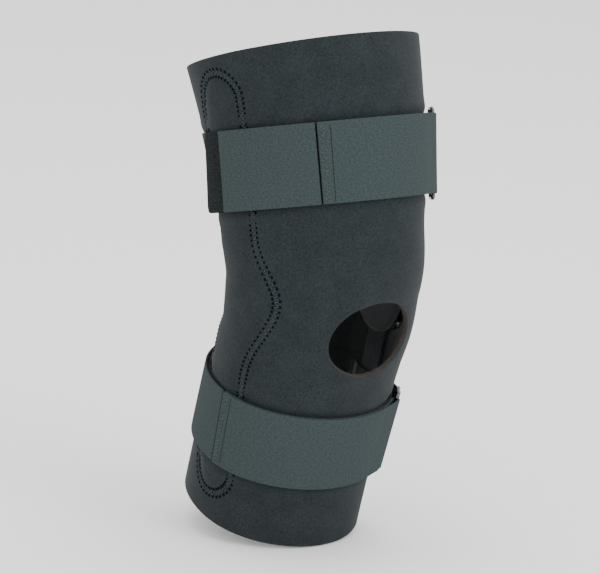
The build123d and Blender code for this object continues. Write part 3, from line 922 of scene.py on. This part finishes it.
def pad_cover():
    """Cover of the pad on the +X side, blown up by the cloth simulation."""
    grid = bmesh.new()
    bmesh.ops.create_icosphere(grid, subdivisions=4, radius=1.0)
    for vert in grid.verts:
        flat = vert.co.copy()
        crown = math.copysign(abs(flat.x) ** PAD_CROWN, flat.x)
        vert.co = Vector((crown * pad_half.x * PAD_START, flat.y * pad_half.y * PAD_FIT,
                          flat.z * pad_half.z * PAD_FIT)) + pad_centre
    piece = to_object(grid, "left_pad")
    rest = [vert.co.copy() for vert in piece.data.vertices]
    cloth = piece.modifiers.new("cloth", "CLOTH")
    cloth.settings.use_pressure = True
    cloth.settings.uniform_pressure_force = PAD_PRESSURE
    cloth.settings.effector_weights.gravity = 0
    scene = bpy.context.scene
    for frame_number in range(1, PAD_FRAMES + 1):
        scene.frame_set(frame_number)
    apply_modifiers(piece)
    scene.frame_set(1)
    for vert, start in zip(piece.data.vertices, rest):
        moved = vert.co - start
        if moved.length > PAD_SWELL * MM:
            vert.co = start + moved.normalized() * PAD_SWELL * MM
    for vert in piece.data.vertices:
        vert.co.x = min(max(vert.co.x, pad_low.x), pad_high.x)
    return piece


def pad_piping():
    """Bound edge round the pad: a circle swept round the oval."""
    grid = bmesh.new()
    bmesh.ops.create_circle(grid, segments=PIPING_SIDES, radius=PIPING_RADIUS * MM)
    bmesh.ops.rotate(grid, verts=grid.verts, cent=(0, 0, 0),
                     matrix=Matrix.Rotation(math.pi / 2, 3, "X"))
    bmesh.ops.translate(grid, verts=grid.verts, vec=(1.0, 0, 0))
    bmesh.ops.spin(grid, geom=grid.verts[:] + grid.edges[:], cent=(0, 0, 0), axis=(0, 0, 1),
                   angle=2 * math.pi, steps=PIPING_STEPS, use_merge=True)
    for vert in grid.verts:
        angle = math.atan2(vert.co.y, vert.co.x)
        out = math.hypot(vert.co.x, vert.co.y) - 1.0
        y = math.cos(angle) * (pad_half.y - PIPING_RADIUS * MM + out)
        z = math.sin(angle) * (pad_half.z - PIPING_RADIUS * MM + out)
        vert.co = pad_centre + Vector((vert.co.z, y, z))
    face_outwards(grid)
    return to_object(grid, "left_pad_piping")


def mirrored(piece, name):
    """Copy of a piece on the other side of the leg."""
    grid = bmesh.new()
    grid.from_mesh(piece.data)
    bmesh.ops.scale(grid, vec=(-1, 1, 1), verts=grid.verts)
    bmesh.ops.reverse_faces(grid, faces=grid.faces)
    return to_object(grid, name)


pads = {"left_pad": pad_cover(), "left_pad_piping": pad_piping()}
for name in list(pads):
    pads[name.replace("left", "right")] = mirrored(pads[name], name.replace("left", "right"))
print("pads:", sorted(pads))

# %% [markdown]
# ## Material tools
# A maker's colour card gives colours as they look on a screen, so one function turns such a hex value
# into the linear light that the shader wants. Another adds a node, sets it and links it. Every
# pattern's scale is worked out from a real size: a texture of scale 1000 repeats each millimetre.

# %% Material tools
def colour(hex_value):
    """Linear colour of an sRGB hex value."""
    channels = [int(hex_value[i:i + 2], 16) / 255 for i in (1, 3, 5)]
    linear = [c / 12.92 if c <= 0.04045 else ((c + 0.055) / 1.055) ** 2.4 for c in channels]
    return (*linear, 1.0)


def add(tree, kind, settings, inputs):
    """Adds a node; inputs are values, or other nodes' outputs to link, by socket name or number."""
    node = tree.nodes.new(kind)
    for name, value in settings.items():
        setattr(node, name, value)
    for socket, value in inputs.items():
        if isinstance(value, bpy.types.NodeSocket):
            tree.links.new(value, node.inputs[socket])
        else:
            node.inputs[socket].default_value = value
    return node.outputs


def per_mm(size):
    """Scale of a texture whose features are this many millimetres."""
    return 1 / (size * MM)


def new_material(name, **values):
    """Material with its shader's own values set; returns it with its tree and shader."""
    material = bpy.data.materials.new(name)
    material.use_nodes = True
    shader = material.node_tree.nodes["Principled BSDF"]
    for socket, value in values.items():
        shader.inputs[socket.replace("_", " ")].default_value = value
    return material, material.node_tree, shader


def join(tree, output, shader, socket):
    tree.links.new(output, shader.inputs[socket])


def two_tone(tree, amount, dark, light, low=0.35, high=0.65):
    """Colour that goes from dark to light as an amount goes from low to high."""
    share = add(tree, "ShaderNodeMapRange", {}, {"Value": amount, "From Min": low, "From Max": high})
    inputs = {0: share["Result"], 6: colour(dark), 7: colour(light)}
    return add(tree, "ShaderNodeMix", {"data_type": "RGBA"}, inputs)[2]


# %% [markdown]
# ## Nylon-faced foam rubber
# The face of the sleeve is a thin circular knit glued to foam rubber. It is matt, slightly bluish
# grey, with a faint sheen towards the edge of view from its fine filaments. Wales 1.15 mm apart and
# courses 0.95 mm apart show as tiny shaded stitches, and the dye takes a little unevenly.

# %% Knit face, cut foam and lining
WALE = 1.15
COURSE = 0.95
WAVES_PER_METRE = 1000 * math.pi / 10    # a wave texture of scale 1 has a period of pi / 10


def knit_face():
    material, tree, shader = new_material("nylon_knit_on_foam_rubber", Roughness=0.92, IOR=1.45,
                                          Sheen_Weight=0.05, Sheen_Roughness=0.45,
                                          Specular_IOR_Level=0.12)
    place = add(tree, "ShaderNodeTexCoord", {}, {})
    cloth = add(tree, "ShaderNodeUVMap", {"uv_map": "cloth"}, {})["UV"]
    wale = add(tree, "ShaderNodeTexWave", {"bands_direction": "X"},
               {"Vector": cloth, "Scale": WAVES_PER_METRE / WALE, "Distortion": 1.5,
                "Detail": 1.0, "Detail Scale": 2.0})["Fac"]
    course = add(tree, "ShaderNodeTexWave", {"bands_direction": "Y"},
                 {"Vector": cloth, "Scale": WAVES_PER_METRE / COURSE, "Distortion": 1.5,
                  "Detail": 1.0, "Detail Scale": 2.0})["Fac"]
    stitch = add(tree, "ShaderNodeMath", {"operation": "MULTIPLY"}, {0: wale, 1: course})["Value"]
    grain = add(tree, "ShaderNodeTexNoise", {}, {"Vector": place["Object"], "Scale": per_mm(1.3),
                                                 "Detail": 3.0, "Roughness": 0.75})["Fac"]
    dye = add(tree, "ShaderNodeTexNoise", {}, {"Vector": place["Object"], "Scale": per_mm(14),
                                               "Detail": 2.0})["Fac"]
    mottled = add(tree, "ShaderNodeMath", {"operation": "MULTIPLY_ADD"},
                  {0: stitch, 1: 0.1, 2: grain})["Value"]
    fine = two_tone(tree, mottled, "#181d1f", "#2d3335", 0.3, 0.8)
    broad = two_tone(tree, dye, "#eeeeee", "#ffffff")
    tint = add(tree, "ShaderNodeMix", {"data_type": "RGBA", "blend_type": "MULTIPLY"},
               {0: 1.0, 6: fine, 7: broad})[2]
    join(tree, tint, shader, "Base Color")
    bump = add(tree, "ShaderNodeBump", {}, {"Height": mottled, "Strength": 0.35,
                                            "Distance": 0.2 * MM})["Normal"]
    join(tree, bump, shader, "Normal")
    return material


def cut_foam():
    """Raw cut edge: the brown-black foam core shows its small closed cells, darker in their hollows as
    painted shade.
    """
    material, tree, shader = new_material("cut_foam_rubber_edge", Roughness=0.95, IOR=1.45,
                                          Specular_IOR_Level=0.2)
    place = add(tree, "ShaderNodeTexCoord", {}, {})
    cells = add(tree, "ShaderNodeTexVoronoi", {}, {"Vector": place["Object"],
                                                   "Scale": per_mm(0.7)})["Distance"]
    # Brown-black is the foam's own colour; the darker cell hollows are painted shade.
    join(tree, two_tone(tree, cells, "#1d1a19", "#3a3431", 0.1, 0.7), shader, "Base Color")
    bump = add(tree, "ShaderNodeBump", {}, {"Height": cells, "Strength": 0.6,
                                            "Distance": 0.2 * MM})["Normal"]
    join(tree, bump, shader, "Normal")
    return material


def brushed_lining(name, dark, light):
    """Brushed tricot: short loose fibres, soft and matt."""
    material, tree, shader = new_material(name, Roughness=0.95, IOR=1.45, Sheen_Weight=0.35,
                                          Sheen_Roughness=0.6, Specular_IOR_Level=0.2)
    place = add(tree, "ShaderNodeTexCoord", {}, {})
    fibre = add(tree, "ShaderNodeTexNoise", {}, {"Vector": place["Object"], "Scale": per_mm(0.9),
                                                 "Detail": 4.0, "Roughness": 0.75})["Fac"]
    join(tree, two_tone(tree, fibre, dark, light), shader, "Base Color")
    bump = add(tree, "ShaderNodeBump", {}, {"Height": fibre, "Strength": 0.5,
                                            "Distance": 0.3 * MM})["Normal"]
    join(tree, bump, shader, "Normal")
    return material


knit = knit_face()
foam = cut_foam()
lining = brushed_lining("brushed_tricot_lining", "#1a1d20", "#2c3134")
pad_cloth = brushed_lining("brushed_pad_cover", "#17191c", "#282d30")
print("sleeve materials:", knit.name, foam.name, lining.name)

# %% [markdown]
# ## Webbing, pile and hooks
# The strap is woven elastic: fine cords run along it, and the weft crosses them in short dashes of
# lighter and darker yarn, which reads as greenish grey heather. The band under it is brushed loop
# pile, dark and fuzzy. The hook tape is a field of tiny moulded hooks in rows; the gaps between the
# hooks are painted darker as painted shade.

# %% Webbing, pile and hooks
CORD = 1.0
WEFT = 0.8
HOOK_PITCH = 1.3


def woven_elastic():
    material, tree, shader = new_material("woven_elastic_webbing", Roughness=0.95, IOR=1.5,
                                          Specular_IOR_Level=0.08)
    cloth = add(tree, "ShaderNodeUVMap", {"uv_map": "cloth"}, {})["UV"]
    dashes_at = add(tree, "ShaderNodeMapping", {}, {"Vector": cloth,
                                                    "Scale": (per_mm(CORD), per_mm(1.6), 1.0)})
    dashes = add(tree, "ShaderNodeTexNoise", {}, {"Vector": dashes_at["Vector"], "Scale": 1.0,
                                                  "Detail": 2.0, "Roughness": 0.7})["Fac"]
    cords = add(tree, "ShaderNodeTexWave", {"bands_direction": "X"},
                {"Vector": cloth, "Scale": WAVES_PER_METRE / CORD, "Distortion": 0.3,
                 "Detail": 0.0})["Fac"]
    wefts = add(tree, "ShaderNodeTexWave", {"bands_direction": "Y"},
                {"Vector": cloth, "Scale": WAVES_PER_METRE / WEFT, "Distortion": 0.8,
                 "Detail": 0.0})["Fac"]
    weave = add(tree, "ShaderNodeMath", {"operation": "MULTIPLY_ADD"},
                {0: cords, 1: 0.45, 2: wefts})["Value"]
    heather = add(tree, "ShaderNodeMath", {"operation": "MULTIPLY_ADD"},
                  {0: weave, 1: 0.08, 2: dashes})["Value"]
    join(tree, two_tone(tree, heather, "#283031", "#3d4647", 0.3, 0.85), shader, "Base Color")
    bump = add(tree, "ShaderNodeBump", {}, {"Height": weave, "Strength": 0.55,
                                            "Distance": 0.2 * MM})["Normal"]
    join(tree, bump, shader, "Normal")
    return material


def pile_cloth():
    material, tree, shader = new_material("brushed_loop_pile", Roughness=0.95, IOR=1.5,
                                          Sheen_Weight=0.06, Sheen_Roughness=0.6,
                                          Specular_IOR_Level=0.08)
    place = add(tree, "ShaderNodeTexCoord", {}, {})
    loops = add(tree, "ShaderNodeTexNoise", {}, {"Vector": place["Object"], "Scale": per_mm(1.0),
                                                 "Detail": 4.0, "Roughness": 0.8})["Fac"]
    join(tree, two_tone(tree, loops, "#0c1011", "#1b2223"), shader, "Base Color")
    bump = add(tree, "ShaderNodeBump", {}, {"Height": loops, "Strength": 0.8,
                                            "Distance": 0.5 * MM})["Normal"]
    join(tree, bump, shader, "Normal")
    return material


def hook_tape():
    material, tree, shader = new_material("moulded_hook_tape", Roughness=0.9, IOR=1.5,
                                          Specular_IOR_Level=0.1)
    cloth = add(tree, "ShaderNodeUVMap", {"uv_map": "cloth"}, {})["UV"]
    hooks = add(tree, "ShaderNodeTexVoronoi", {"feature": "F1"},
                {"Vector": cloth, "Scale": per_mm(HOOK_PITCH), "Randomness": 0.35})["Distance"]
    # The low gaps between the hooks are painted darker: painted shade between the hooks.
    join(tree, two_tone(tree, hooks, "#222c2d", "#0a0e0f", 0.15, 0.5), shader, "Base Color")
    bump = add(tree, "ShaderNodeBump", {"invert": True}, {"Height": hooks, "Strength": 0.9,
                                                          "Distance": 0.6 * MM})["Normal"]
    join(tree, bump, shader, "Normal")
    return material


def thread_and_shade_finish(name, dark, light, shine=0.15):
    """Bonded polyester thread: a tight twist with a little shine. Near black and without shine, it is
    painted shade instead.
    """
    material, tree, shader = new_material(name, Roughness=0.9, IOR=1.5, Specular_IOR_Level=shine)
    place = add(tree, "ShaderNodeTexCoord", {}, {})
    twist = add(tree, "ShaderNodeTexNoise", {}, {"Vector": place["Object"], "Scale": per_mm(0.6),
                                                 "Detail": 2.0})["Fac"]
    join(tree, two_tone(tree, twist, dark, light), shader, "Base Color")
    return material


webbing = woven_elastic()
pile = pile_cloth()
hooks = hook_tape()
grey_thread = thread_and_shade_finish("grey_sewing_thread", "#1c2326", "#3b4347")
seam_thread = thread_and_shade_finish("fuzzy_seam_thread", "#232b2b", "#475150")
# Near black without shine: painted shade of the needle holes and of the groove of the sunk stitches.
hole_and_groove_shade = thread_and_shade_finish("hole_and_groove_painted_shade", "#07090b", "#12161a", 0.0)
print("strap materials:", webbing.name, pile.name, hooks.name)

# %% [markdown]
# ## Metals and vinyl
# The rings are bent steel wire with black nickel plating: dark and glossy. The arms are rolled
# aluminium strip, satin along its length. Plates are stamped steel, tumbled dull, and rivets are
# turned. The cap on each arm's tip is dipped vinyl with a wet-looking skin.

# %% Metals and vinyl
def metal(name, base, dark, roughness, grain_mm, stretch):
    """Metal whose fine tooling marks vary its colour and roughness."""
    material, tree, shader = new_material(name, Metallic=1.0)
    place = add(tree, "ShaderNodeTexCoord", {}, {})
    marks_at = add(tree, "ShaderNodeMapping", {}, {"Vector": place["Object"], "Scale": stretch})
    marks = add(tree, "ShaderNodeTexNoise", {}, {"Vector": marks_at["Vector"],
                                                 "Scale": per_mm(grain_mm), "Detail": 3.0})["Fac"]
    join(tree, two_tone(tree, marks, dark, base), shader, "Base Color")
    rough = add(tree, "ShaderNodeMapRange", {}, {"Value": marks, "To Min": roughness * 0.8,
                                                 "To Max": roughness * 1.25})["Result"]
    join(tree, rough, shader, "Roughness")
    bump = add(tree, "ShaderNodeBump", {}, {"Height": marks, "Strength": 0.12,
                                            "Distance": 0.05 * MM})["Normal"]
    join(tree, bump, shader, "Normal")
    return material


def dipped_vinyl():
    material, tree, shader = new_material("dipped_vinyl", Roughness=0.35, IOR=1.5,
                                          Coat_Weight=0.2, Coat_Roughness=0.2)
    place = add(tree, "ShaderNodeTexCoord", {}, {})
    skin = add(tree, "ShaderNodeTexNoise", {}, {"Vector": place["Object"], "Scale": per_mm(4.0),
                                                "Detail": 2.0})["Fac"]
    join(tree, two_tone(tree, skin, "#151617", "#222426"), shader, "Base Color")
    return material


cad_finishes = {
    "ring_steel": metal("black_nickel_wire", "#5b5e60", "#3d4042", 0.2, 1.5, (1.0, 1.0, 1.0)),
    "stay_aluminium": metal("satin_rolled_aluminium", "#cfd1d3", "#b4b7ba", 0.32, 0.6, (1.0, 1.0, 0.05)),
    "hinge_steel": metal("stamped_satin_steel", "#b3b5b7", "#989b9e", 0.36, 0.8, (1.0, 1.0, 1.0)),
    "rivet_steel": metal("turned_rivet_steel", "#bfc0c2", "#a3a5a8", 0.28, 0.5, (1.0, 1.0, 1.0)),
    "vinyl_cap": dipped_vinyl(),
}
slot_of = {part["node"]: part["material_slot"] for part in frame["record"]["subparts"]}
for name, node in nodes.items():
    finish = cad_finishes.get(slot_of[name])
    if finish:
        for place in node.material_slots:
            place.material = finish
print("CAD finishes:", sorted(cad_finishes))

# %% [markdown]
# ## Dressing the new pieces
# Each new piece gets its material.

# %% Dress and attach
def dress(piece, material, slot_name):
    """Gives a piece its only material."""
    piece.data.materials.clear()
    piece.data.materials.append(material)


REPLACED = {"thigh": ("sleeve_thigh", "sleeve_knee"), "calf": ("sleeve_calf", "kneecap_panel")}

for half in ("thigh", "calf"):
    for finish in (knit, foam, lining):
        sleeve[half].data.materials.append(finish)
    dress(seams[half][0], grey_thread, "neoprene")
    # The pit beads get the near-black painted shade of the needle holes.
    dress(seams[half][1], hole_and_groove_shade, "neoprene")
    for piece in [sleeve[half], *seams[half]]:
        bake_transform(piece)
    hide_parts(*REPLACED[half])
    rides = {
        "elastic": (webbing, "woven_elastic", f"{half}_strap", f"{half}_strap_elastic"),
        "seam_thread": (seam_thread, "woven_elastic", f"{half}_strap", None),
        # The sunk row gets the near-black painted shade of its groove.
        "seam_row": (hole_and_groove_shade, "woven_elastic", f"{half}_strap", None),
        "tab": (webbing, "woven_elastic", f"{half}_tab", f"{half}_closure_tab"),
        "hooks": (hooks, "hook_tape", f"{half}_tab", f"{half}_tab_hooks"),
        "band": (pile, "pile_band", half, f"{half}_strap_band"),
        "webbing": (pile, "pile_band", half, f"{half}_ring_loop"),
    }
    for name, (material, slot_name, body, node) in rides.items():
        piece = straps[half][name]
        dress(piece, material, slot_name)
        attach(piece, body)
        if node:
            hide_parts(node)

for (half, side), piece in linings.items():
    name = "left" if side > 0 else "right"
    dress(piece, lining, "pocket_lining")
    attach(piece, half)
    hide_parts(f"{name}_{half}_pocket")

for name, piece in pads.items():
    dress(piece, lining if "piping" in name else pad_cloth, "pad_cloth")
    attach(piece, "hinge_heads")
    if "piping" not in name:
        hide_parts(f"{name.split('_')[0]}_hinge_pad")
print("pieces attached")

# %% [markdown]
# ## Stage, light and camera
# A large pale floor, a bright even surround and three soft panels: a key from the right, a fill from
# the left and one above. The camera has a long lens, far away, so the brace looks as flat as it does
# in a product picture, and it is rolled a little.

# %% Floor and light
FLOOR_DROP = 0.5
FLOOR_SIZE = 8.0
SURROUND = 1.6
PANELS = {                  # place in metres, size in metres, power in watts
    "key": ((0.5, -2.4, 1.1), 1.4, 34.0),
    "fill": ((-2.1, -0.9, 0.6), 1.6, 10.0),
    "top": ((0.2, 0.3, 2.2), 1.6, 18.0),
}


def make_floor():
    grid = bmesh.new()
    bmesh.ops.create_grid(grid, x_segments=1, y_segments=1, size=FLOOR_SIZE)
    low = min(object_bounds()[0][2], cad_box[0][2])
    bmesh.ops.translate(grid, verts=grid.verts, vec=(0, 0, low - FLOOR_DROP * MM))
    floor = to_object(grid, "floor")
    material, tree, shader = new_material("matt_white_floor", Roughness=0.9)
    shader.inputs["Base Color"].default_value = colour("#f4f4f3")
    floor.data.materials.append(material)
    floor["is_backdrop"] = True
    return floor


def add_panel(name, position, size, power):
    """Square soft light aimed at the knee."""
    light = bpy.data.lights.new(name, "AREA")
    light.energy = power
    light.size = size
    lamp = bpy.data.objects.new(name, light)
    lamp.location = position
    lamp.rotation_euler = (-Vector(position)).to_track_quat("-Z", "Y").to_euler()
    bpy.context.scene.collection.objects.link(lamp)


floor = make_floor()
for name, (position, size, power) in PANELS.items():
    add_panel(name, position, size, power)
world = bpy.data.worlds.new("surround")
world.use_nodes = True
background = world.node_tree.nodes["Background"]
background.inputs["Color"].default_value = (1.0, 1.0, 1.0, 1.0)
background.inputs["Strength"].default_value = SURROUND
bpy.context.scene.world = world
print("floor at", floor.data.vertices[0].co.z)

# %% [markdown]
# ## Camera
# The camera looks from the front and one side, a little from above. Its own axes are worked out from
# those angles, then turned about the line of sight for the small roll.

# %% Camera
AZIMUTH = math.radians(-39.98)
ELEVATION = math.radians(12.88)
ROLL = math.radians(3.49)
DISTANCE = 2.1989
LENS = 207.1
SENSOR = 36.0
SHIFT = (-0.0371, 0.0085)

back = Vector((math.sin(AZIMUTH) * math.cos(ELEVATION), -math.cos(AZIMUTH) * math.cos(ELEVATION),
               math.sin(ELEVATION)))
right = Vector((math.cos(AZIMUTH), math.sin(AZIMUTH), 0.0))
up = back.cross(right)
rolled_right = right * math.cos(ROLL) + up * math.sin(ROLL)
rolled_up = up * math.cos(ROLL) - right * math.sin(ROLL)
camera_data = bpy.data.cameras.new("camera")
camera_data.lens = LENS
camera_data.sensor_width = SENSOR
camera_data.shift_x, camera_data.shift_y = SHIFT
camera_data.clip_end = 50.0
camera = bpy.data.objects.new("camera", camera_data)
turn = Matrix((rolled_right, rolled_up, back)).transposed().to_4x4()
camera.matrix_world = Matrix.Translation(back * DISTANCE) @ turn
bpy.context.scene.collection.objects.link(camera)
bpy.context.scene.camera = camera
print("camera at", camera.matrix_world.translation)

# %% Finish
bpy.context.view_layer.update()
